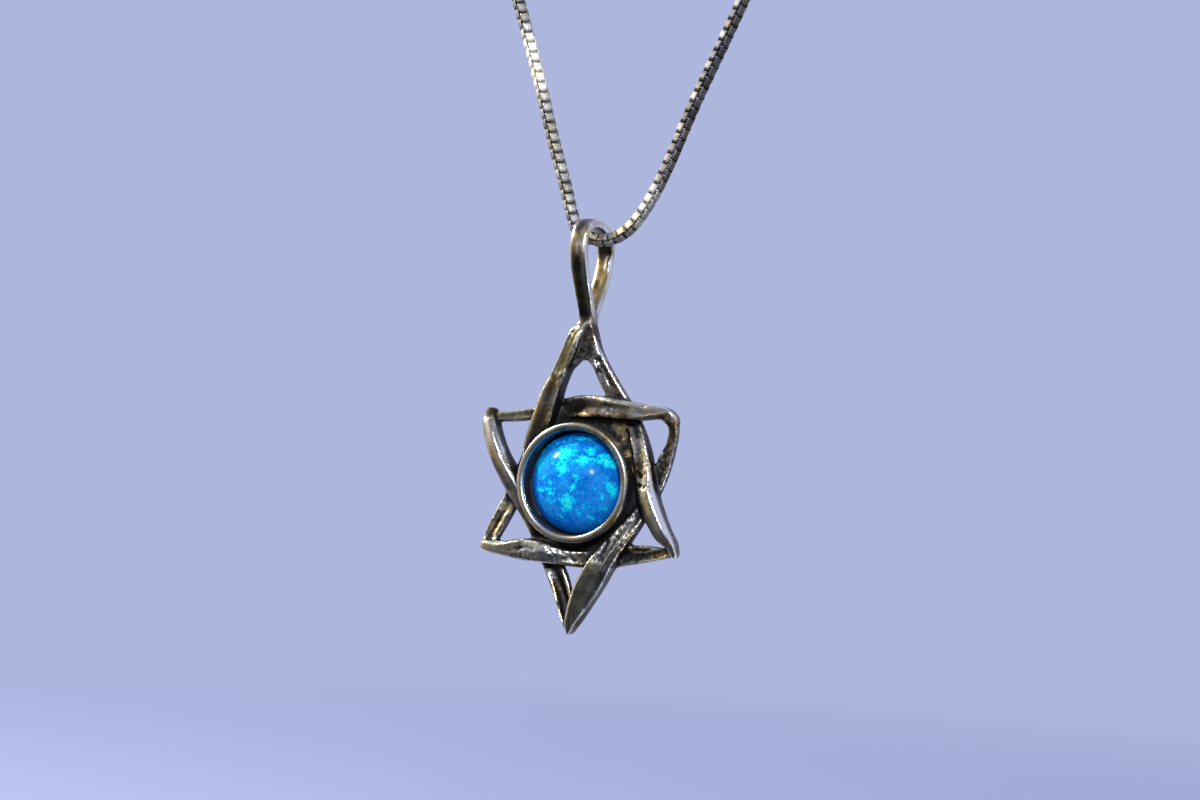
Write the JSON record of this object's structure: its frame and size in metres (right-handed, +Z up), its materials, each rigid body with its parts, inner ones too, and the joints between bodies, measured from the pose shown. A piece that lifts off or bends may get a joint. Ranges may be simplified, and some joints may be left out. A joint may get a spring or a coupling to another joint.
{
  "type": "star of david pendant on a chain",
  "caption": "Star pendant of interlaced bands with a round opal in a raised bezel, hanging by its bail on a closed loop of fine box chain.",
  "frame": {"origin": "where the loop of chain hangs, on the level that the two end rings beside the clasp just touch", "axes": "+Z is up, from the pendant to the clasp; the pendant faces -Y; +X is to the right seen from the front"},
  "size_m": [0.0993, 0.0062, 0.2218],
  "materials": {
    "blackened_silver": "cast silver, blackened in the hollows and rubbed bright along the edges",
    "opal": "polished blue opal with turquoise patches, opaque",
    "bright_silver": "polished silver, a little tarnished between the links"
  },
  "bodies": {
    "necklace": {"chain": "bright_silver", "clasp": "bright_silver", "end_ring_left": "bright_silver", "end_ring_right": "bright_silver"},
    "pendant": {"star_frame": "blackened_silver", "opal": "opal"}
  },
  "joints": [
    {"name": "pendant_swing", "type": "hinge", "parent": "necklace", "child": "pendant", "pos_m": [0, 0, -0.187], "axis": [1, 0, 0], "range_deg": [-90, 90]}
  ]
}
